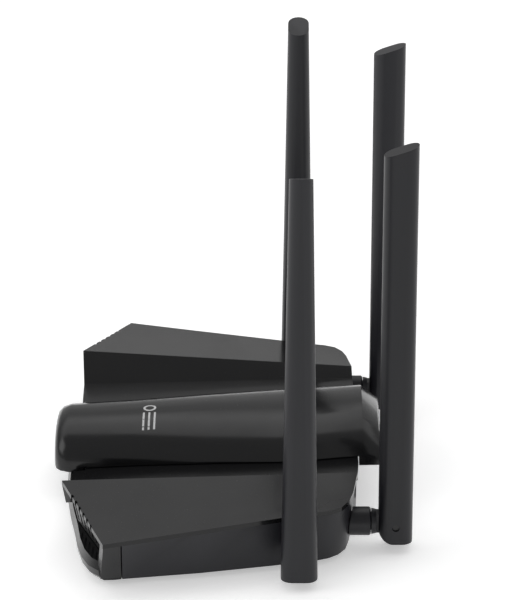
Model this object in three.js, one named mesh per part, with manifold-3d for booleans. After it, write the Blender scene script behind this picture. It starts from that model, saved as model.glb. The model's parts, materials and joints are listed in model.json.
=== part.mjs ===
// Wireless router with a raised centre spine, two folded wings and four swivelling antennas.
// Millimetres, +Z up, front towards -Y, standing on its rubber feet at z = 0.
import * as THREE from "three";
import { mergeVertices } from "three/addons/utils/BufferGeometryUtils.js";
import Module from "manifold-3d";

const wasm = await Module();
wasm.setup();

// Driving dimensions
const FRONT_Y = -75;
const REAR_Y = 58.4;
const NOSE_Y = -81.3;
const SPINE_REAR_Y = 68.5;
const SHEET = 2;
const VALLEY_FALL = [6.6, 3.2];
const GAP = 0.3;
const FLOOR_Z = 3;
const FLOOR_TOP_Z = 5;
const BOARD_Z = 6.4;
const BOARD_THICK = 1.6;
const BOARD_TOP_Z = BOARD_Z + BOARD_THICK;
const CHIN_TOP_Z = 11.5;
const OVERHANG_Z = 20.5;
const SLAT_PITCH = 5.2;
const SLAT_GAP = 2;
const FAR = 160;

// Antenna: the pin is the local origin, +X points away from the housing, Z is up
const PIN_Z = 12.6;
const BLADE_BELOW = 8;
const BLADE_ABOVE = 175.6;
const BLADE_HALF_DEPTH = 7.5;
const BLADE_HALF_WIDTH_LOW = 8;
const BLADE_HALF_WIDTH_TOP = 5;
const BLADE_CORNER = 4.9;
const BLADE_CORNER_STEPS = 5;
const TOP_SLANT = 5;
const HEEL_RADIUS = 8.2;
const TONGUE_RADIUS = 5;
const TONGUE_HALF = 3;
const PIN_RADIUS = 1.5;
const COLLAR_RADIUS = 6.4;
const SIDE_PIVOT = [113.8, 31];
const REAR_PIVOT = [75.4, 73.8];

const PORTS = { lan_port_1: -46, lan_port_2: -29, lan_port_3: -12, wan_port: 8 };
const PORT = { width: 16, height: 11.4, depth: 20 };
const JACK_X = 29;
const BUTTON_X = 46;
const CASE_SCREWS = [[84, -36], [-84, -36], [80, 34], [-80, 34]];
const BOARD_SCREWS = [[56, -32], [-56, -32], [52, 26], [-56, 26]];
const FEET = [[92, -42], [-92, -42], [76, 44], [-76, 44]];

// --- solids -------------------------------------------------------------------------------

function solid(geometry) {
  const bare = geometry.clone();
  bare.deleteAttribute("normal");
  bare.deleteAttribute("uv");
  const merged = mergeVertices(bare, 1e-4);
  const vertProperties = merged.attributes.position.array;
  const triVerts = new Uint32Array(merged.index.array);
  const made = new wasm.Manifold(new wasm.Mesh({ numProp: 3, vertProperties, triVerts }));
  if (made.volume() > 0) return made;
  const turned = triVerts.reverse();
  return new wasm.Manifold(new wasm.Mesh({ numProp: 3, vertProperties, triVerts: turned }));
}

function box(x0, x1, y0, y1, z0, z1) {
  const geometry = new THREE.BoxGeometry(x1 - x0, y1 - y0, z1 - z0);
  return solid(geometry.translate((x0 + x1) / 2, (y0 + y1) / 2, (z0 + z1) / 2));
}

// A rod along "x", "y" or "z" from one place on that axis to another, through the point at
function rod(axis, radius, from, to, at = [0, 0, 0], sides = 24, endRadius = radius) {
  const geometry = new THREE.CylinderGeometry(endRadius, radius, to - from, sides);
  geometry.translate(0, (from + to) / 2, 0);
  if (axis === "x") geometry.rotateZ(-Math.PI / 2);
  if (axis === "z") geometry.rotateX(Math.PI / 2);
  return solid(geometry.translate(...at));
}

// A closed skin through loops of points with equal counts; the caps are cut in the plane flat
function loft(given, flat) {
  const capOf = (loop) => loop.map((p) => new THREE.Vector2(p[flat[0]], p[flat[1]]));
  const clockwise = THREE.ShapeUtils.isClockWise(capOf(given[0]));
  const loops = clockwise ? given.map((loop) => loop.toReversed()) : given;
  const count = loops[0].length;
  const positions = loops.flat(2);
  const index = [];
  for (let k = 0; k + 1 < loops.length; k++) {
    for (let i = 0; i < count; i++) {
      const a = k * count + i;
      const b = k * count + ((i + 1) % count);
      index.push(a, b, b + count, a, b + count, a + count);
    }
  }
  const first = THREE.ShapeUtils.triangulateShape(capOf(loops[0]), []);
  const last = THREE.ShapeUtils.triangulateShape(capOf(loops.at(-1)), []);
  const start = (loops.length - 1) * count;
  for (const [a, b, c] of first) index.push(c, b, a);
  for (const [a, b, c] of last) index.push(start + a, start + b, start + c);
  const geometry = new THREE.BufferGeometry();
  geometry.setAttribute("position", new THREE.Float32BufferAttribute(positions, 3));
  geometry.setIndex(index);
  return solid(geometry);
}

const both = (half) => half.add(half.mirror([1, 0, 0]));
const mirrored = (right) => [
  ...right,
  ...right.filter((p) => p[0] > 0).reverse().map(([x, ...rest]) => [-x, ...rest]),
];

// An upright block whose plan changes evenly from the outline low to the outline high
function tapered(low, high, z0, z1) {
  const raise = (points, z) => points.map(([x, y]) => [x, y, z]);
  return loft([raise(low, z0), raise(high, z1)], [0, 1]);
}

const prism = (points, z0, z1) => tapered(points, points, z0, z1);
const join = (first, ...rest) => rest.reduce((sum, next) => sum.add(next), first);
const cut = (body, ...tools) => tools.reduce((left, tool) => left.subtract(tool), body);
const lerp = THREE.MathUtils.lerp;

// --- the folded deck ----------------------------------------------------------------------

// How far back a place is, from 0 at the front edge to 1 at the rear edge
const back = (y) => (y - FRONT_Y) / (REAR_Y - FRONT_Y);
const creaseHeight = (y) => lerp(18.3, 25.8, back(y));
const valleyHeight = (y) => creaseHeight(y) - lerp(...VALLEY_FALL, back(y));

function deckSection(y, drop) {
  const t = back(y);
  const ridge = [lerp(76, 61.9, t), lerp(32, 30, t)];
  const edge = [lerp(135.4, 92, t), lerp(25.8, 27.3, t)];
  const crease = [lerp(65.8, 57, t), creaseHeight(y)];
  const slope = (edge[1] - ridge[1]) / (edge[0] - ridge[0]);
  const outer = [FAR, ridge[1] + slope * (FAR - ridge[0])];
  const top = [[-0.01, valleyHeight(y)], crease, ridge, outer].map(([x, z]) => [x, y, z - drop]);
  return [...top, [FAR, y, -20], [-0.01, y, -20]];
}

// Everything below the deck's surface, lowered by drop
const underDeck = (drop) => both(
  loft([deckSection(FRONT_Y - 15, drop), deckSection(REAR_Y + 15, drop)], [0, 2]),
);

const DECK_RIGHT = [
  [28.5, -72], [43, -72.4], [65.8, -72.9], [75.9, -73.7], [128.2, -52.8], [97.3, 40],
  [96.1, 44.6], [93, 49.6], [87, 53], [79.5, 54.9], [62, 57.2], [40, 58.2],
];
const CASE_TOP_RIGHT = [
  [34, -67], [72, -64.5], [117.5, -47.2], [124.8, -44.8], [114.4, -12], [103.4, 20], [96.8, 40],
  [95.4, 44.6], [91.6, 49.6], [85.8, 53], [78, 54.6], [40, 57.6],
];
const CASE_LOW_RIGHT = [
  [34, -67], [72, -61.5], [107.5, -48.6], [114.6, -45.4], [108.6, -12], [101, 20], [95.6, 39.4],
  [93.6, 44], [89.8, 48.4], [84.2, 51.6], [76, 53.2], [40, 57.2],
];
const CASE_SPLIT_Z = 25;

// The lower housing's outside grown by an even margin
function caseBlock(grow) {
  const away = ([x, y]) => [x + grow, y + Math.sign(y) * grow];
  const halfPlan = (points) => [[-0.01, points[0][1]], ...points, [-0.01, points.at(-1)[1]]];
  const low = halfPlan(CASE_LOW_RIGHT.map(away));
  const high = halfPlan(CASE_TOP_RIGHT.map(away));
  const rise = (k) => low.map(([x, y], i) => [lerp(x, high[i][0], k), lerp(y, high[i][1], k)]);
  const topZ = 34;
  return both(tapered(low, rise((topZ - FLOOR_Z) / (CASE_SPLIT_Z - FLOOR_Z)), FLOOR_Z, topZ));
}

function topCover() {
  const plan = prism(mirrored(DECK_RIGHT), -10, 60);
  const sheet = cut(underDeck(0), underDeck(SHEET)).intersect(plan);
  const bosses = CASE_SCREWS.map(([x, y]) => rod("z", 3.4, 10.5, 34, [x, y, 0]).intersect(underDeck(1)));
  const holes = CASE_SCREWS.map(([x, y]) => rod("z", 1.75, 8, 20.5, [x, y, 0]));
  const airway = join(box(-22, 22, -68, 50, 0, 60), box(-28.4, 28.4, -80, -66.6, 0, 60));
  return cut(join(sheet, ...bosses), ...holes, airway, ...lipNotches());
}

// --- front grille -------------------------------------------------------------------------

const GRILLE_TOP = [[44.5, -71], [75, -69.6], [121, -51.5]];
const GRILLE_LOW = [[44.5, -70], [75, -66.8], [110.5, -53.2]];

// Boxes that follow the slanted front, one for each gap between the slats
function grilleGaps(z0, z1, depth) {
  const [, inner, outer] = GRILLE_TOP.map(([x, y]) => new THREE.Vector2(x, y));
  const run = outer.clone().sub(inner);
  const turn = Math.atan2(run.y, run.x);
  const count = Math.floor(run.length() / SLAT_PITCH);
  return Array.from({ length: count }, (_, i) => {
    const at = inner.clone().addScaledVector(run, ((i + 0.6) * SLAT_PITCH) / run.length());
    const tool = new THREE.BoxGeometry(SLAT_GAP, depth, z1 - z0);
    tool.rotateZ(turn).translate(at.x, at.y, (z0 + z1) / 2);
    return solid(tool);
  });
}

// Fine notches where the gaps run up into the front lip of the deck
function lipNotches() {
  const ahead = cut(
    prism([[40, -90], [FAR, -90], [FAR, -40.5], [75.9, -72.4]], 0, 60),
    box(0, FAR, -60, 0, 30.4, 60),
  );
  const shallow = grilleGaps(20, 40, 8.2).slice(2, 8).map((tool) => tool.intersect(ahead));
  return [...shallow, ...shallow.map((tool) => tool.mirror([1, 0, 0]))];
}

function grille() {
  const thick = 1.6;
  const ring = (path) => [...path, ...path.toReversed().map(([x, y]) => [x, y + thick])];
  const panel = tapered(ring(GRILLE_LOW), ring(GRILLE_TOP), CHIN_TOP_Z + GAP, 25)
    .intersect(underDeck(SHEET + GAP));
  return cut(panel, ...grilleGaps(CHIN_TOP_Z + 2, 23, 14));
}

// --- front bezel: a rounded chin and the corner pillar in one moulding ----------------------

const CHIN = [
  [-0.01, -75.8], [31, -74.8], [46, -73.4], [61, -71.4], [78, -68.4], [92, -66.4], [103, -63.8],
  [111.5, -60.2], [116.6, -55.6], [116.3, -51], [114.9, -45.8], [60, -40], [-0.01, -50],
];
const CHIN_FRONT_POINTS = 11;

function frontBezel() {
  const inward = (k) => CHIN.map(([x, y], i) => (
    i < CHIN_FRONT_POINTS ? [x > 0 ? x - 0.35 * k : x, y + k] : [x, y]
  ));
  const chin = join(
    tapered(inward(2.2), inward(0.4), FLOOR_Z, FLOOR_Z + 2),
    tapered(inward(0.4), inward(0), FLOOR_Z + 2, FLOOR_Z + 5),
    tapered(inward(0), inward(1.4), FLOOR_Z + 5, CHIN_TOP_Z),
  );
  const low = [[112, -56.4], [116.6, -54.8], [116.2, -51], [114.9, -45.8], [109, -46.5]];
  const high = [[123.6, -54], [127.6, -52.4], [127.2, -50], [125.3, -45.1], [119, -46]];
  const pillar = tapered(low, high, FLOOR_Z + 1, 27).intersect(underDeck(SHEET + GAP));
  const seatLow = [...GRILLE_LOW, [110, -40], [40, -40]];
  const seat = tapered(seatLow, [...GRILLE_TOP, [121, -40], [40, -40]], CHIN_TOP_Z, 25);
  return both(cut(join(chin, pillar), caseBlock(GAP), seat.translate([0, -GAP, 0]), seat));
}

// --- centre spine -------------------------------------------------------------------------

const NOSE_BOTTOM_Z = CHIN_TOP_Z + 1;
const SPINE = [
  { y: NOSE_Y, half: 17.5, top: 27.4, foot: 15.6 },
  { y: -80.6, half: 20.8, top: 30, foot: 15.4 },
  { y: -78.6, half: 23.4, top: 32, foot: 15 },
  { y: -75, half: 25, top: 33.2, foot: 14.6 },
  { y: -46, half: 27.4, top: 34.6, foot: 15.4 },
  { y: -12, half: 32.4, top: 36.4, foot: 17.2 },
  { y: 22, half: 36, top: 38, foot: 19 },
  { y: 42, half: 35.2, top: 39.6, foot: 20.2 },
  { y: 60.4, half: 33.4, top: 41.2, foot: 21.2 },
  { y: 67.6, half: 33, top: 34, foot: 21.2 },
  { y: SPINE_REAR_Y, half: 32.2, top: 32.8, foot: 21.2 },
];
const SPINE_STEPS = 16;
const SPINE_ROUNDNESS = 0.93;

function spineSection({ y, half, top, foot }, inset, bottom) {
  const arch = Array.from({ length: SPINE_STEPS + 1 }, (_, i) => {
    const angle = (Math.PI * i) / SPINE_STEPS;
    const swell = (v) => Math.sign(v) * Math.abs(v) ** SPINE_ROUNDNESS;
    return [(half - inset) * swell(Math.cos(angle)), y, foot + (top - foot - inset) * swell(Math.sin(angle))];
  });
  return [...arch, [-(half - inset) + 0.8, y, bottom], [half - inset - 0.8, y, bottom]];
}

function spineCover() {
  const outer = loft(SPINE.map((s) => spineSection(s, 0, NOSE_BOTTOM_Z)), [0, 2]);
  const inside = SPINE.slice(2, 9).map((s) => ({ ...s, y: Math.min(s.y, 56) }));
  const hollow = loft(inside.map((s) => spineSection(s, 2.2, -5)), [0, 2]);
  const body = underDeck(-GAP).intersect(box(-FAR, FAR, -67.3, REAR_Y + GAP, -20, 60));
  const window = box(-9, 9, NOSE_Y - 2, NOSE_Y + 5, 15.7, 17.5);
  return cut(outer, hollow, body, box(-FAR, FAR, 50, 90, -20, OVERHANG_Z), window);
}

// --- lower housing ------------------------------------------------------------------------

function bottomCase() {
  const wall = 2.2;
  const inner = caseBlock(-wall).intersect(box(-FAR, FAR, -90, 90, FLOOR_TOP_Z, 60));
  const frontWindow = box(-FAR, FAR, -90, -40, CHIN_TOP_Z, 60).intersect(
    prism(mirrored([[40, -90], [108, -90], [108, -46.4], [40, -60]]), 0, 60),
  );
  const shell = cut(caseBlock(0).intersect(underDeck(SHEET + GAP)), inner, frontWindow);
  const columns = CASE_SCREWS.map(([x, y]) => rod("z", 5, FLOOR_Z + 0.5, 10.2, [x, y, 0]));
  const posts = BOARD_SCREWS.map(([x, y]) => rod("z", 3, FLOOR_Z + 0.5, BOARD_Z - GAP, [x, y, 0]));
  const portTop = BOARD_TOP_Z + PORT.height + 2 * GAP;
  const portHoles = Object.values(PORTS).map((x) =>
    box(x - PORT.width / 2 - GAP, x + PORT.width / 2 + GAP, 50, 62, BOARD_TOP_Z, portTop),
  );
  const screwHoles = CASE_SCREWS.flatMap(([x, y]) => [
    rod("z", 1.8, 0, 12, [x, y, 0]),
    rod("z", 3.4, 0, 6.2, [x, y, 0]),
  ]);
  const pilots = BOARD_SCREWS.map(([x, y]) => rod("z", 1.25, FLOOR_TOP_Z, 8, [x, y, 0], 12));
  const vents = [-1, 1].flatMap((side) =>
    Array.from({ length: 8 }, (_, i) => box(side * 34 - 18, side * 34 + 18, -24 + i * 5, -22 + i * 5, 0, 6)),
  );
  const spigots = ANTENNAS.map(({ at, turn }) => {
    const hole = rod("x", 4.8, -26, 0, [0, 0, 0]);
    return hole.rotate([0, 0, turn]).translate([...at, PIN_Z]);
  });
  const jackHole = box(JACK_X - 4.8, JACK_X + 4.8, 50, 62, BOARD_TOP_Z, BOARD_TOP_Z + 11.3);
  const buttonHole = rod("y", 3.4, 50, 62, [BUTTON_X, 0, 13.5]);
  return cut(
    join(shell, ...columns, ...posts),
    ...portHoles, ...screwHoles, ...pilots, ...vents, ...spigots, jackHole, buttonHole,
  );
}

// --- board and its parts ------------------------------------------------------------------

function mainBoard() {
  const plate = box(-64, 62, -40, 51, BOARD_Z, BOARD_TOP_Z);
  const holes = BOARD_SCREWS.map(([x, y]) => rod("z", 1.7, 0, 20, [x, y, 0], 16));
  return cut(plate, ...holes);
}

const boardScrew = ([x, y]) => join(
  rod("z", 1.15, FLOOR_TOP_Z + 0.2, BOARD_TOP_Z + GAP + 0.1, [x, y, 0], 12),
  rod("z", 2.6, BOARD_TOP_Z + GAP, BOARD_TOP_Z + 1.9, [x, y, 0], 16),
);

function caseScrew([x, y]) {
  const head = rod("z", 3, 3.6, 5.9, [x, y, 0], 20);
  const cross = [[1.8, 0.4], [0.4, 1.8]].map(([a, b]) => box(x - a, x + a, y - b, y + b, 3, 4.6));
  return join(cut(head, ...cross), rod("z", 1.45, 5.8, 19.5, [x, y, 0], 16));
}

// A modular socket with its keyed mouth open to the rear
function networkPort(x) {
  const rearY = 57.4;
  const low = BOARD_TOP_Z + GAP;
  const high = low + PORT.height - GAP;
  const shell = box(x - PORT.width / 2, x + PORT.width / 2, rearY - PORT.depth, rearY, low, high);
  const mouth = box(x - 6, x + 6, rearY - 16, rearY + 1, low + 2.4, low + 9.4);
  const key = box(x - 3, x + 3, rearY - 16, rearY + 1, low + 0.9, low + 3);
  const pins = Array.from({ length: 8 }, (_, i) => {
    const at = x - 3.57 + i * 1.02;
    return box(at - 0.2, at + 0.2, rearY - 16.5, rearY - 5, low + 8.6, low + 9.5);
  });
  return join(cut(shell, mouth, key), ...pins);
}

function powerJack() {
  const low = BOARD_TOP_Z + GAP;
  const block = box(JACK_X - 4.5, JACK_X + 4.5, 43, 57.4, low, low + 10.7);
  const at = [JACK_X, 0, low + 6.2];
  return join(cut(block, rod("y", 3.1, 46, 60, at)), rod("y", 1.05, 45, 56.4, at, 12));
}

function button() {
  const at = [BUTTON_X, 0, 13.5];
  return join(rod("y", 3, 52.5, 56.9, at), rod("y", 4.6, 51.4, 53.2, at), rod("y", 1.4, 49.6, 51.6, at, 12));
}

const tactSwitch = () => join(
  box(BUTTON_X - 3, BUTTON_X + 3, 44, 47.4, BOARD_TOP_Z + GAP, 16.5),
  rod("y", 1.5, 47.2, 48.4, [BUTTON_X, 0, 13.5], 12),
);

function heatSink() {
  const base = box(-14, 14, -8, 20, BOARD_TOP_Z + 3.4, BOARD_TOP_Z + 4.9);
  const fins = Array.from({ length: 8 }, (_, i) => (
    box(-14 + i * 3.85, -13 + i * 3.85, -8, 20, BOARD_TOP_Z + 4.5, 18.2)
  ));
  return join(base, ...fins);
}

function shieldCan(x0, x1, y0, y1) {
  const low = BOARD_TOP_Z + GAP;
  const can = box(x0, x1, y0, y1, low, low + 2.8);
  const dimples = [0.3, 0.7].map((t) => rod("z", 1, low + 2.4, 20, [lerp(x0, x1, t), (y0 + y1) / 2, 0], 12));
  return cut(can, box(x0 + 0.4, x1 - 0.4, y0 + 0.4, y1 - 0.4, low - 1, low + 2.2), ...dimples);
}

const capacitor = ([x, y]) => join(
  rod("z", 4, BOARD_TOP_Z + GAP, 17.6, [x, y, 0]),
  rod("z", 3.6, 17.4, 18, [x, y, 0]),
);

// The light guide takes the indicator light up from the board into the nose window
function lightGuide() {
  const bar = box(-8.6, 8.6, -81, -62, 15.9, 17.2);
  const legs = [-7.2, -2.4, 2.4, 7.2].map((x) => box(x - 1, x + 1, -64, -62, 8.2, 16.2));
  return join(bar, ...legs);
}

const lightBoard = () => join(
  box(-12, 12, -64.2, -50, 5.6, 7.2),
  ...[-7.2, -2.4, 2.4, 7.2].map((x) => box(x - 0.8, x + 0.8, -63.8, -62.2, 7, 7.8)),
);

const foot = ([x, y]) => join(
  rod("z", 5.6, 0, 0.9, [x, y, 0], 24, 6.2),
  rod("z", 6.2, 0.8, FLOOR_Z - GAP, [x, y, 0], 24),
);

// --- antenna ------------------------------------------------------------------------------

const ANTENNAS = [
  { name: "right", at: SIDE_PIVOT, turn: 0, lip: -20 },
  { name: "rear_right", at: REAR_PIVOT, turn: 90, lip: -25 },
  { name: "left", at: [-SIDE_PIVOT[0], SIDE_PIVOT[1]], turn: 180, lip: -20 },
  { name: "rear_left", at: [-REAR_PIVOT[0], REAR_PIVOT[1]], turn: 90, lip: -25 },
];
const COLLAR_FACE = -10.9;

function bladeLoop(z, halfWidth, rise) {
  const d = BLADE_HALF_DEPTH;
  const r = Math.min(BLADE_CORNER, halfWidth - 0.1);
  const step = Math.PI / (2 * BLADE_CORNER_STEPS);
  const steps = Array.from({ length: BLADE_CORNER_STEPS + 1 }, (_, i) => i * step);
  const quarter = steps.map((a) => [d - r + r * Math.cos(a), halfWidth - r + r * Math.sin(a)]);
  const half = [...quarter, ...quarter.toReversed().map(([x, y]) => [-x, y])];
  const points = [...half, ...half.toReversed().map(([x, y]) => [x, -y])];
  return points.map(([x, y]) => [x, y, z + (rise * (x - d)) / (2 * d)]);
}

function blade() {
  const shape = loft([
    bladeLoop(-BLADE_BELOW, BLADE_HALF_WIDTH_LOW, 0),
    bladeLoop(BLADE_ABOVE, BLADE_HALF_WIDTH_TOP, TOP_SLANT),
  ], [0, 1]);
  const slot = TONGUE_HALF + GAP;
  const reach = TONGUE_RADIUS + 0.4;
  const heel = cut(box(-12, 0, -12, 12, -12, 0), rod("y", HEEL_RADIUS, -13, 13, [0, 0, 0], 48));
  return cut(
    shape,
    box(-12, 0, -slot, slot, -12, reach - 0.4),
    box(-12, reach - 0.4, -slot, slot, -12, 0),
    rod("y", reach, -slot, slot),
    rod("y", PIN_RADIUS + 0.15, -20, 20),
    rod("z", 2.4, 2, 150, [0, 0, 0], 12),
    heel,
  );
}

function knuckle(lip) {
  const tongue = rod("y", TONGUE_RADIUS, -TONGUE_HALF, TONGUE_HALF);
  const neck = box(COLLAR_FACE + 2, 0, -TONGUE_HALF, TONGUE_HALF, -4.4, 4.4);
  const shoulder = rod("x", 5.9, COLLAR_FACE + GAP, COLLAR_FACE + 2.3, [0, 0, 0], 24, 5.4);
  const spigot = rod("x", 4, lip - 1.6, COLLAR_FACE + 1);
  const snap = rod("x", 4.2, lip - 1.4, lip, [0, 0, 0], 24, 5.2);
  const lead = rod("x", 1.3, lip - 3, -6.4, [0, 0, 0], 12);
  return cut(join(tongue, neck, shoulder, spigot, snap), rod("y", PIN_RADIUS + 0.15, -20, 20), lead);
}

// The fixed collar follows the housing wall and its sleeve lines the hole
function collar({ at, turn, lip }) {
  const stand = (piece) => piece.rotate([0, 0, turn]).translate([...at, PIN_Z]);
  const outer = rod("x", COLLAR_RADIUS, lip, COLLAR_FACE - 0.6, [0, 0, 0], 32);
  const nose = rod("x", COLLAR_RADIUS, COLLAR_FACE - 0.6, COLLAR_FACE, [0, 0, 0], 32, COLLAR_RADIUS - 0.6);
  const ring = cut(stand(join(outer, nose)), caseBlock(GAP));
  const sleeve = rod("x", 4.5, lip + 2.2, COLLAR_FACE - 1);
  return cut(join(ring, stand(sleeve)), stand(rod("x", 4.1, -60, 0)));
}

const hingePin = () => rod("y", PIN_RADIUS, -7.1, 7.1, [0, 0, 0], 16);

const radiator = () => join(
  rod("z", 0.7, 7, 148, [0, 0, 0], 8),
  rod("z", 1.9, 60, 92, [0, 0, 0], 12),
  rod("z", 1.9, 96, 128, [0, 0, 0], 12),
);

// The aerial lead runs from the board's edge to just inside the hollow knuckle
function aerialLead({ at, turn, lip }) {
  const out = new THREE.Vector3(1, 0, 0).applyAxisAngle(new THREE.Vector3(0, 0, 1), (turn * Math.PI) / 180);
  const end = new THREE.Vector3(...at, PIN_Z).addScaledVector(out, lip + 1);
  const inner = end.clone().addScaledVector(out, -9);
  const side = Math.sign(at[0]);
  const start = new THREE.Vector3(side * 58, turn === 90 ? 8 : -4, BOARD_TOP_Z + 1);
  const curve = new THREE.CatmullRomCurve3([start, start.clone().lerp(inner, 0.5).setZ(14.5), inner, end]);
  const ring = new THREE.Shape().absarc(0, 0, 0.65, 0, 2 * Math.PI);
  const sweep = { extrudePath: curve, steps: 14, curveSegments: 4, bevelEnabled: false };
  return solid(new THREE.ExtrudeGeometry(ring, sweep));
}

// --- assembly -----------------------------------------------------------------------------

const group = new THREE.Group();
const FINISH = {
  gloss: { color: 0x24242a, roughness: 0.22, metalness: 0 },
  satin: { color: 0x2a2a30, roughness: 0.4, metalness: 0 },
  dark: { color: 0x17171a, roughness: 0.55, metalness: 0 },
  rubber: { color: 0x101012, roughness: 0.9, metalness: 0 },
  steel: { color: 0xb4b6ba, roughness: 0.35, metalness: 0.9 },
  board: { color: 0x1d5a34, roughness: 0.5, metalness: 0 },
  brass: { color: 0xb08d4a, roughness: 0.35, metalness: 0.9 },
  clear: { color: 0xd8e2ea, roughness: 0.2, metalness: 0 },
};

function place(name, made, finish, at = [0, 0, 0], turn = 0) {
  const { vertProperties, triVerts } = made.getMesh();
  const geometry = new THREE.BufferGeometry();
  geometry.setAttribute("position", new THREE.BufferAttribute(vertProperties, 3));
  geometry.setIndex(new THREE.BufferAttribute(triVerts, 1));
  geometry.computeVertexNormals();
  const mesh = new THREE.Mesh(geometry, new THREE.MeshStandardMaterial(FINISH[finish]));
  mesh.name = name;
  mesh.position.set(...at);
  mesh.rotation.z = (turn * Math.PI) / 180;
  group.add(mesh);
}

place("top_cover", topCover(), "gloss");
place("spine_cover", spineCover(), "gloss");
place("bottom_case", bottomCase(), "satin");
place("front_bezel", frontBezel(), "gloss");
place("front_grille_right", grille(), "dark");
place("front_grille_left", grille().mirror([1, 0, 0]), "dark");
place("main_board", mainBoard(), "board");
place("indicator_board", lightBoard(), "board");
place("light_guide", lightGuide(), "clear");
place("heat_sink", heatSink(), "steel");
place("processor", box(-9, 9, -3, 15, BOARD_TOP_Z + GAP, BOARD_TOP_Z + 3.1), "dark");
place("shield_can_right", shieldCan(24, 48, -26, 2), "steel");
place("shield_can_left", shieldCan(-48, -24, -26, 2), "steel");
place("power_capacitor", capacitor([40, 32]), "dark");
place("power_jack", powerJack(), "dark");
place("reset_button", button(), "dark");
place("reset_switch", tactSwitch(), "dark");
for (const [name, x] of Object.entries(PORTS)) place(name, networkPort(x), "dark");
CASE_SCREWS.forEach((at, i) => place(`case_screw_${i + 1}`, caseScrew(at), "steel"));
BOARD_SCREWS.forEach((at, i) => place(`board_screw_${i + 1}`, boardScrew(at), "steel"));
FEET.forEach((at, i) => place(`rubber_foot_${i + 1}`, foot(at), "rubber"));
for (const antenna of ANTENNAS) {
  const { name, turn, lip } = antenna;
  const at = [...antenna.at, PIN_Z];
  place(`antenna_collar_${name}`, collar(antenna), "satin");
  place(`antenna_lead_${name}`, aerialLead(antenna), "dark");
  place(`antenna_knuckle_${name}`, knuckle(lip), "satin", at, turn);
  place(`antenna_pin_${name}`, hingePin(), "dark", at, turn);
  place(`antenna_blade_${name}`, blade(), "satin", at, turn);
  place(`antenna_element_${name}`, radiator(), "brass", at, turn);
}

export default group;
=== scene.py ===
"""A wireless router with four folding antennas, dressed for a studio picture."""

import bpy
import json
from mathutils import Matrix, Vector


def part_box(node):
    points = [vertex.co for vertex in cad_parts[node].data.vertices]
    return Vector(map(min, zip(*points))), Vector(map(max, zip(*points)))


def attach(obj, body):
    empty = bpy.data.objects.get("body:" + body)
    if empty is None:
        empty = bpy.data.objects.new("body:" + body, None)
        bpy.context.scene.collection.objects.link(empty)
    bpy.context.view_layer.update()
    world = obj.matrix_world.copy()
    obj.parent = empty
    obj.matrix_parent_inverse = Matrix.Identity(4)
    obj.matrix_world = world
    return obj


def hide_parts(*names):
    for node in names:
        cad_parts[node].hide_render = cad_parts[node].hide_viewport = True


bl_info = {
    "name": "Wireless router",
    "version": (1, 0, 0),
    "blender": (4, 5, 0),
    "location": "3D View > Sidebar > Router",
    "description": "Builds the finished surfaces of a four-antenna router around its engineering frame",
    "category": "Add Mesh",
}

import json
import math

import bmesh
import bpy
from mathutils import Vector
from mathutils.bvhtree import BVHTree

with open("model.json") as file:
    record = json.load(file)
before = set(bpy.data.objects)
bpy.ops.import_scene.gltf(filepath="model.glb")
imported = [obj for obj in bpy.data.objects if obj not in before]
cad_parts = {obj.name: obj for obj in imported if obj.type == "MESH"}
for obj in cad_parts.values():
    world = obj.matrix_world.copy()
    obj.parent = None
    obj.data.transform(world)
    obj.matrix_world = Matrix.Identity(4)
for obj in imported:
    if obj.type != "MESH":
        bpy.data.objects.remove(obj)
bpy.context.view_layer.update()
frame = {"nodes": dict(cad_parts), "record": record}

MM = 0.001
SIDES = ("right", "rear_right", "left", "rear_left")

# Where the printed mark sits: sideways, and as a share of the spine's length from its front
MARK_ASIDE = 8.5 * MM
MARK_ALONG = 0.29

# Studio: metres, degrees and strengths
CAMERA_PLACE = (1.268, 0.0222, 0.5797)
CAMERA_PITCH = 21.06
CAMERA_TURN = -0.43
CAMERA_LENS = 178.1
SKY_LIGHT = 0.45
CANOPY_LIGHT = 1.4
FILL_WATTS = 7
FLOOR_GLOW = 0.42

BODY_OF = {n: b for b, ns in frame["record"]["behaviour"]["bodies"].items() for n in ns}
SLOT_OF = {row["node"]: row["material_slot"] for row in frame["record"]["subparts"]}


# --- settings shown in the sidebar ----------------------------------------------------------


class RouterSizes(bpy.types.PropertyGroup):
    """Edge softness and the size of the printed mark."""

    shell_edge: bpy.props.FloatProperty(
        name="Shell edge", description="Edge radius of the glossy covers",
        default=0.55 * MM, unit="LENGTH", precision=5,
    )
    blade_edge: bpy.props.FloatProperty(
        name="Blade edge", description="Edge radius of the antenna blades",
        default=0.7 * MM, unit="LENGTH", precision=5,
    )
    fine_edge: bpy.props.FloatProperty(
        name="Fine edge", description="Edge radius of small mouldings",
        default=0.25 * MM, unit="LENGTH", precision=5,
    )
    mark_width: bpy.props.FloatProperty(
        name="Mark width", description="Width of the printed mark across the spine",
        default=21 * MM, unit="LENGTH", precision=5,
    )


class RouterColours(bpy.types.PropertyGroup):
    """Colours of the visible mouldings."""

    gloss: bpy.props.FloatVectorProperty(
        name="Gloss covers", description="Deck, spine and front bezel", subtype="COLOR",
        default=(0.0042, 0.0042, 0.0046), min=0, max=1,
    )
    satin: bpy.props.FloatVectorProperty(
        name="Satin parts", description="Antennas, collars and lower housing", subtype="COLOR",
        default=(0.008, 0.0081, 0.0104), min=0, max=1,
    )
    floor: bpy.props.FloatVectorProperty(
        name="Floor", description="Studio floor", subtype="COLOR",
        default=(0.9, 0.9, 0.9), min=0, max=1,
    )


# --- shader writing -------------------------------------------------------------------------


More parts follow.
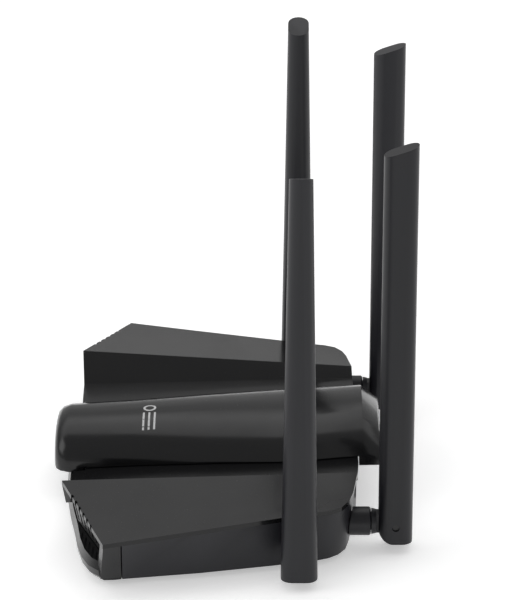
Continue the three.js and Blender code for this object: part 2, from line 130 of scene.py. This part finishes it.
class Wire:
    """An output socket that can be used in sums as if it were a number."""

    def __init__(self, finish, socket):
        self.finish = finish
        self.socket = socket

    def _maths(self, operation, first, second):
        return self.finish.add("ShaderNodeMath", {"operation": operation}, {0: first, 1: second})

    def __add__(self, other):
        return self._maths("ADD", self, other)

    def __radd__(self, other):
        return self._maths("ADD", other, self)

    def __sub__(self, other):
        return self._maths("SUBTRACT", self, other)

    def __rsub__(self, other):
        return self._maths("SUBTRACT", other, self)

    def __mul__(self, other):
        return self._maths("MULTIPLY", self, other)

    def __rmul__(self, other):
        return self._maths("MULTIPLY", other, self)


class Nodes:
    """Writes nodes into one tree."""

    def __init__(self, tree):
        self.tree = tree

    def add(self, kind, settings=None, inputs=None, output=0):
        node = self.tree.nodes.new(kind)
        for key, value in (settings or {}).items():
            if key == "stops":
                self._set_stops(node.color_ramp, value)
            else:
                setattr(node, key, value)
        for key, value in (inputs or {}).items():
            self._plug(node.inputs[key], value)
        return Wire(self, node.outputs[output])

    def _plug(self, socket, value):
        if isinstance(value, Wire):
            self.tree.links.new(value.socket, socket)
        else:
            socket.default_value = value

    @staticmethod
    def _set_stops(ramp, stops):
        while len(ramp.elements) < len(stops):
            ramp.elements.new(0.5)
        for element, (place, level) in zip(ramp.elements, stops):
            element.position = place
            element.color = (level, level, level, 1)


class Finish(Nodes):
    """A material under construction, with its main shader ready to be fed."""

    def __init__(self, name, **constants):
        self.material = bpy.data.materials.new(name)
        self.material.use_nodes = True
        super().__init__(self.material.node_tree)
        self.shader = self.tree.nodes["Principled BSDF"]
        for socket, value in constants.items():
            self.shader.inputs[socket.replace("_", " ")].default_value = value

    def feed(self, **inputs):
        for key, value in inputs.items():
            self._plug(self.shader.inputs[key.replace("_", " ")], value)
        return self.material

    def place(self, stretch=(1, 1, 1)):
        at = self.add("ShaderNodeTexCoord", output="Object")
        return self.add("ShaderNodeMapping", None, {"Vector": at, "Scale": stretch})

    def noise(self, scale, detail=3.0, stretch=(1, 1, 1), rough=0.5):
        settings = {"noise_dimensions": "3D"}
        inputs = {"Vector": self.place(stretch), "Scale": scale, "Detail": detail, "Roughness": rough}
        return self.add("ShaderNodeTexNoise", settings, inputs)

    def ramp(self, value, *stops):
        return self.add("ShaderNodeValToRGB", {"stops": stops}, {"Fac": value})

    def blend(self, mask, dark, light):
        settings = {"data_type": "RGBA"}
        inputs = {0: mask, 6: (*dark, 1), 7: (*light, 1)}
        return self.add("ShaderNodeMix", settings, inputs, output=2)

    def edges(self, low=0.52, high=0.58):
        """Painted highlight: white along convex edges."""
        sharpness = self.add("ShaderNodeNewGeometry", output="Pointiness")
        return self.ramp(sharpness, (low, 0.0), (high, 1.0))

    def bump(self, height, strength, distance):
        inputs = {"Height": height, "Strength": strength, "Distance": distance}
        return self.add("ShaderNodeBump", None, inputs)


def shade(colour, factor):
    return tuple(min(1.0, c * factor) for c in colour)


def glossy_plastic(name, colour):
    """Polished mouldings: a hard shine broken by faint smears, dust and slow mould ripples."""
    finish = Finish(name, IOR=1.4, Coat_Roughness=0.05, Coat_IOR=1.4)
    smear = finish.ramp(finish.noise(38, 4, (1, 1, 2)), (0.42, 0.0), (0.72, 1.0))
    dust = finish.ramp(finish.noise(1500, 1.5), (0.72, 0.0), (0.79, 1.0))
    # painted highlight: convex edges lightened in the base colour, and also made slightly rougher
    edge_highlight = finish.edges()
    tone = finish.noise(14, 3) * 0.6 + edge_highlight * 0.5
    ripple = finish.noise(55, 2) * 0.7 + finish.noise(2600, 2) * 0.02
    return finish.feed(
        Base_Color=finish.blend(tone + dust * 0.3, shade(colour, 0.8), shade(colour, 2.0)),
        Roughness=0.17 + smear * 0.07 + dust * 0.2 + edge_highlight * 0.08,
        Coat_Weight=0.12 - smear * 0.1,
        Normal=finish.bump(ripple, 0.05, 0.0009),
    )


def satin_plastic(name, colour, grain=0.16):
    """Spark-eroded mould texture with a soft sheen, and a painted highlight that brightens the edges."""
    finish = Finish(name, IOR=1.42)
    pores = finish.noise(1700, 3, rough=0.6)
    patches = finish.ramp(finish.noise(32, 4, (1, 1, 0.5)), (0.35, 0.0), (0.7, 1.0))
    # painted highlight: convex edges lightened in the base colour, and also made slightly smoother
    edge_highlight = finish.edges()
    tone = patches * 0.4 + pores * 0.3 + edge_highlight * 0.35
    return finish.feed(
        Base_Color=finish.blend(tone, shade(colour, 0.82), shade(colour, 1.7)),
        Roughness=0.34 + patches * 0.06 + pores * 0.08 - edge_highlight * 0.06,
        Normal=finish.bump(pores, grain, 0.00012),
    )


def rubber(name):
    finish = Finish(name, IOR=1.45)
    crumbs = finish.noise(2200, 4, rough=0.7)
    dust = finish.ramp(finish.noise(90, 4), (0.5, 0.0), (0.75, 1.0))
    return finish.feed(
        Base_Color=finish.blend(dust * 0.5 + crumbs * 0.3, (0.006, 0.006, 0.006), (0.05, 0.05, 0.048)),
        Roughness=0.75 + dust * 0.15,
        Normal=finish.bump(crumbs, 0.5, 0.0002),
    )


def metal(name, colour, base_roughness=0.28):
    finish = Finish(name, Metallic=1.0)
    lines = finish.noise(900, 3, (1, 1, 0.06), 0.6)
    stain = finish.ramp(finish.noise(70, 4), (0.4, 0.0), (0.75, 1.0))
    return finish.feed(
        Base_Color=finish.blend(stain * 0.6 + lines * 0.3, colour, shade(colour, 0.72)),
        Roughness=base_roughness + stain * 0.14 + lines * 0.1,
        Normal=finish.bump(lines, 0.18, 0.00008),
    )


def circuit_board(name):
    """Green mask over a maze of fine copper runs."""
    finish = Finish(name, IOR=1.5)
    maze = finish.add(
        "ShaderNodeTexBrick", {"offset": 0.37, "squash": 1.6},
        {"Vector": finish.place(), "Scale": 240, "Mortar Size": 0.06, "Brick Width": 0.9, "Row Height": 0.22},
        output="Fac",
    )
    fill = finish.ramp(finish.noise(120, 2), (0.47, 0.0), (0.52, 1.0))
    runs = maze * fill
    return finish.feed(
        Base_Color=finish.blend(runs, (0.006, 0.055, 0.022), (0.03, 0.16, 0.06)),
        Roughness=0.32 + finish.noise(300, 2) * 0.12,
        Normal=finish.bump(runs, 0.4, 0.00005),
    )


def clear_plastic(name):
    finish = Finish(name, IOR=1.49, Transmission_Weight=0.55)
    haze = finish.noise(200, 3)
    return finish.feed(
        Base_Color=finish.blend(haze, (0.62, 0.66, 0.7), (0.8, 0.83, 0.86)),
        Roughness=0.18 + haze * 0.12,
        Normal=finish.bump(haze, 0.1, 0.0001),
    )


def printed_ink(name):
    """Pad-printed white with a slightly broken, matt film."""
    finish = Finish(name, IOR=1.45)
    film = finish.noise(2400, 3, rough=0.65)
    return finish.feed(
        Base_Color=finish.blend(film, (0.42, 0.42, 0.43), (0.72, 0.72, 0.72)),
        Roughness=0.5 + film * 0.15,
        Normal=finish.bump(film, 0.2, 0.00005),
    )


MATERIALS = {}


def material(slot):
    """The finish of a material slot, made once."""
    if slot not in MATERIALS:
        colours = bpy.context.scene.router_colours
        makers = {
            "gloss_black": lambda: glossy_plastic("gloss_black", tuple(colours.gloss)),
            "satin_black": lambda: satin_plastic("satin_black", tuple(colours.satin)),
            "matt_black": lambda: satin_plastic("matt_black", (0.012, 0.012, 0.0125), 0.3),
            "rubber": lambda: rubber("rubber"),
            "bright_metal": lambda: metal("bright_metal", (0.6, 0.61, 0.63)),
            "board_green": lambda: circuit_board("board_green"),
            "brass": lambda: metal("brass", (0.72, 0.5, 0.2)),
            "clear_plastic": lambda: clear_plastic("clear_plastic"),
            "ink": lambda: printed_ink("ink"),
        }
        MATERIALS[slot] = makers[slot]()
    return MATERIALS[slot]


# --- mesh helpers ---------------------------------------------------------------------------


def new_piece(name, mesh, body, slot_name, finish=None):
    piece = bpy.data.objects.new(name, mesh)
    bpy.context.scene.collection.objects.link(piece)
    mesh.materials.clear()
    mesh.materials.append(material(finish or slot_name))
    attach(piece, body)
    return piece


def apply_modifiers(piece):
    graph = bpy.context.evaluated_depsgraph_get()
    mesh = bpy.data.meshes.new_from_object(piece.evaluated_get(graph))
    piece.modifiers.clear()
    piece.data = mesh


def soft_edged(node, name, width, sharp=28, segments=3):
    """The node's own shape with its facets joined and its sharp edges rounded."""
    mesh = frame["nodes"][node].data.copy()
    shape = bmesh.new()
    shape.from_mesh(mesh)
    bmesh.ops.remove_doubles(shape, verts=shape.verts, dist=0.004 * MM)
    bmesh.ops.dissolve_limit(shape, angle_limit=math.radians(0.6), verts=shape.verts, edges=shape.edges)
    shape.to_mesh(mesh)
    shape.free()
    piece = new_piece(name, mesh, BODY_OF[node], SLOT_OF[node])
    bevel = piece.modifiers.new("edges", "BEVEL")
    bevel.width = width
    bevel.segments = segments
    bevel.limit_method = "ANGLE"
    bevel.angle_limit = math.radians(sharp)
    bevel.use_clamp_overlap = True
    apply_modifiers(piece)
    for face in piece.data.polygons:
        face.use_smooth = True
    weighted = piece.modifiers.new("normals", "WEIGHTED_NORMAL")
    weighted.keep_sharp = True
    apply_modifiers(piece)
    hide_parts(node)
    return piece


def finish_node(node):
    target = frame["nodes"][node].data
    target.materials.clear()
    target.materials.append(material(SLOT_OF[node]))


# --- operators ------------------------------------------------------------------------------


class ROUTER_OT_covers(bpy.types.Operator):
    """Rounds and finishes the deck, the centre spine and the front bezels."""

    bl_idname = "router.covers"
    bl_label = "Covers"

    def execute(self, context):
        width = context.scene.router_sizes.shell_edge
        soft_edged("top_cover", "winged_deck", width)
        soft_edged("spine_cover", "spine", width, sharp=40)
        soft_edged("front_bezel", "chin", width)
        return {"FINISHED"}


class ROUTER_OT_housing(bpy.types.Operator):
    """Rounds and finishes the lower housing and its slatted front."""

    bl_idname = "router.housing"
    bl_label = "Lower housing"

    def execute(self, context):
        width = context.scene.router_sizes.fine_edge
        soft_edged("bottom_case", "lower_housing", width)
        for side in ("right", "left"):
            soft_edged(f"front_grille_{side}", f"slats_{side}", width)
        return {"FINISHED"}


class ROUTER_OT_antennas(bpy.types.Operator):
    """Rounds and finishes the four antennas with their knuckles and collars."""

    bl_idname = "router.antennas"
    bl_label = "Antennas"

    def execute(self, context):
        sizes = context.scene.router_sizes
        for side in SIDES:
            soft_edged(f"antenna_blade_{side}", f"blade_{side}", sizes.blade_edge, segments=4)
            soft_edged(f"antenna_knuckle_{side}", f"knuckle_{side}", sizes.fine_edge)
            soft_edged(f"antenna_collar_{side}", f"collar_{side}", sizes.fine_edge)
        return {"FINISHED"}


class ROUTER_OT_mark(bpy.types.Operator):
    """Prints a small plain mark, a ring and three bars, across the spine."""

    bl_idname = "router.mark"
    bl_label = "Printed mark"

    def execute(self, context):
        width = context.scene.router_sizes.mark_width
        spine = BVHTree.FromObject(bpy.data.objects["spine"], bpy.context.evaluated_depsgraph_get())
        low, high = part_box("spine_cover")
        centre = Vector((MARK_ASIDE, low.y + MARK_ALONG * (high.y - low.y), 0))
        shape = bmesh.new()
        unit = width / 7
        ring_at = centre + Vector((-2.3 * unit, 0, 0))
        self.band(shape, [self.polar(ring_at, unit * 1.0, a) for a in range(0, 361, 15)],
                  [self.polar(ring_at, unit * 0.66, a) for a in range(0, 361, 15)])
        for row in (-0.85, 0, 0.85):
            start = centre + Vector((-0.8 * unit, row * unit - 0.14 * unit, 0))
            run = [start + Vector((unit * 0.4 * i, 0, 0)) for i in range(11)]
            self.band(shape, run, [p + Vector((0, 0.3 * unit, 0)) for p in run])
        for vertex in shape.verts:
            hit = spine.ray_cast(Vector((vertex.co.x, vertex.co.y, 1)), Vector((0, 0, -1)))[0]
            if hit is None:
                raise RuntimeError("the printed mark misses the spine")
            vertex.co.z = hit.z + 0.04 * MM
        mesh = bpy.data.meshes.new("printed_mark")
        shape.to_mesh(mesh)
        shape.free()
        piece = new_piece("printed_mark", mesh, "housing", "gloss_black", "ink")
        film = piece.modifiers.new("film", "SOLIDIFY")
        film.thickness = 0.03 * MM
        apply_modifiers(piece)
        return {"FINISHED"}

    @staticmethod
    def polar(centre, radius, degrees):
        angle = math.radians(degrees)
        return centre + radius * Vector((math.cos(angle), math.sin(angle), 0))

    @staticmethod
    def band(shape, outer, inner):
        left = [shape.verts.new(p) for p in outer]
        right = [shape.verts.new(p) for p in inner]
        for i in range(len(left) - 1):
            shape.faces.new((left[i], left[i + 1], right[i + 1], right[i]))


class ROUTER_OT_small_parts(bpy.types.Operator):
    """Finishes every part that keeps its engineering shape."""

    bl_idname = "router.small_parts"
    bl_label = "Small parts"

    def execute(self, context):
        for node, holder in frame["nodes"].items():
            if not holder.hide_render:
                finish_node(node)
        for side in range(1, 5):
            soft_edged(f"rubber_foot_{side}", f"foot_{side}", context.scene.router_sizes.fine_edge)
        return {"FINISHED"}


class ROUTER_OT_stage(bpy.types.Operator):
    """Adds the pale floor, the soft lights and the camera."""

    bl_idname = "router.stage"
    bl_label = "Stage"

    def execute(self, context):
        self.floor()
        self.lights()
        self.camera()
        return {"FINISHED"}

    def floor(self):
        shape = bmesh.new()
        bmesh.ops.create_grid(shape, x_segments=2, y_segments=2, size=8)
        mesh = bpy.data.meshes.new("floor")
        shape.to_mesh(mesh)
        shape.free()
        floor = bpy.data.objects.new("floor", mesh)
        bpy.context.scene.collection.objects.link(floor)
        finish = Finish("floor")
        tone = tuple(bpy.context.scene.router_colours.floor)
        mesh.materials.append(finish.feed(
            Base_Color=finish.blend(finish.noise(3), tone, shade(tone, 0.985)), Roughness=0.9,
            Emission_Color=(1, 1, 1, 1), Emission_Strength=FLOOR_GLOW,
        ))

    def lights(self):
        world = bpy.data.worlds.new("studio")
        world.use_nodes = True
        sky = Nodes(world.node_tree)
        direction = sky.add("ShaderNodeTexCoord", output="Generated")
        high = self.ease(sky, self.part(sky, direction, "Z"), 0.5, 0.8)
        beyond = self.ease(sky, self.part(sky, direction, "X"), 0.04, -0.08)
        background = world.node_tree.nodes["Background"].inputs
        background["Color"].default_value = (1, 1, 1, 1)
        strength = high * beyond * (CANOPY_LIGHT - SKY_LIGHT) + SKY_LIGHT
        world.node_tree.links.new(strength.socket, background["Strength"])
        bpy.context.scene.world = world
        self.soft_box("front_fill", (0.5, -1.4, 0.9), 1.0, FILL_WATTS)

    @staticmethod
    def part(sky, direction, letter):
        return sky.add("ShaderNodeSeparateXYZ", None, {0: direction}, output=letter)

    @staticmethod
    def ease(sky, value, start, end):
        """Rises smoothly from 0 at the start to 1 at the end."""
        limits = {"Value": value, "From Min": start, "From Max": end}
        return sky.add("ShaderNodeMapRange", {"interpolation_type": "SMOOTHSTEP"}, limits)

    def soft_box(self, name, place, size, watts):
        lamp = bpy.data.lights.new(name, "AREA")
        lamp.size = size
        lamp.energy = watts
        holder = bpy.data.objects.new(name, lamp)
        holder.location = place
        holder.rotation_euler = (Vector((0, 0, 0.05)) - Vector(place)).to_track_quat("-Z", "Y").to_euler()
        bpy.context.scene.collection.objects.link(holder)

    def camera(self):
        pitch = math.radians(CAMERA_PITCH)
        turn = math.radians(CAMERA_TURN)
        lens = bpy.data.cameras.new("camera")
        lens.lens = CAMERA_LENS
        lens.sensor_width = 36
        lens.shift_x = 0.0113
        lens.shift_y = -0.0108
        lens.clip_end = 50
        camera = bpy.data.objects.new("camera", lens)
        camera.location = CAMERA_PLACE
        level = math.cos(pitch)
        ahead = Vector((-math.cos(turn) * level, math.sin(turn) * level, -math.sin(pitch)))
        camera.rotation_euler = ahead.to_track_quat("-Z", "Y").to_euler()
        bpy.context.scene.collection.objects.link(camera)
        bpy.context.scene.camera = camera
        bpy.context.scene.view_settings.view_transform = "Standard"


STEPS = (
    ROUTER_OT_covers, ROUTER_OT_housing, ROUTER_OT_antennas, ROUTER_OT_mark,
    ROUTER_OT_small_parts, ROUTER_OT_stage,
)


class ROUTER_PT_panel(bpy.types.Panel):
    """Lists the build steps and the settings they read."""

    bl_label = "Wireless router"
    bl_idname = "ROUTER_PT_panel"
    bl_space_type = "VIEW_3D"
    bl_region_type = "UI"
    bl_category = "Router"

    def draw(self, context):
        for step in STEPS:
            self.layout.operator(step.bl_idname)
        for group in (context.scene.router_sizes, context.scene.router_colours):
            for key in group.__annotations__:
                self.layout.prop(group, key)


CLASSES = (RouterSizes, RouterColours, *STEPS, ROUTER_PT_panel)


def register():
    for cls in CLASSES:
        bpy.utils.register_class(cls)
    bpy.types.Scene.router_sizes = bpy.props.PointerProperty(type=RouterSizes)
    bpy.types.Scene.router_colours = bpy.props.PointerProperty(type=RouterColours)


def unregister():
    del bpy.types.Scene.router_colours
    del bpy.types.Scene.router_sizes
    for cls in reversed(CLASSES):
        bpy.utils.unregister_class(cls)


def main():
    register()
    bpy.ops.router.covers()
    bpy.ops.router.housing()
    bpy.ops.router.antennas()
    bpy.ops.router.mark()
    bpy.ops.router.small_parts()
    bpy.ops.router.stage()


if __name__ == "__main__":
    main()
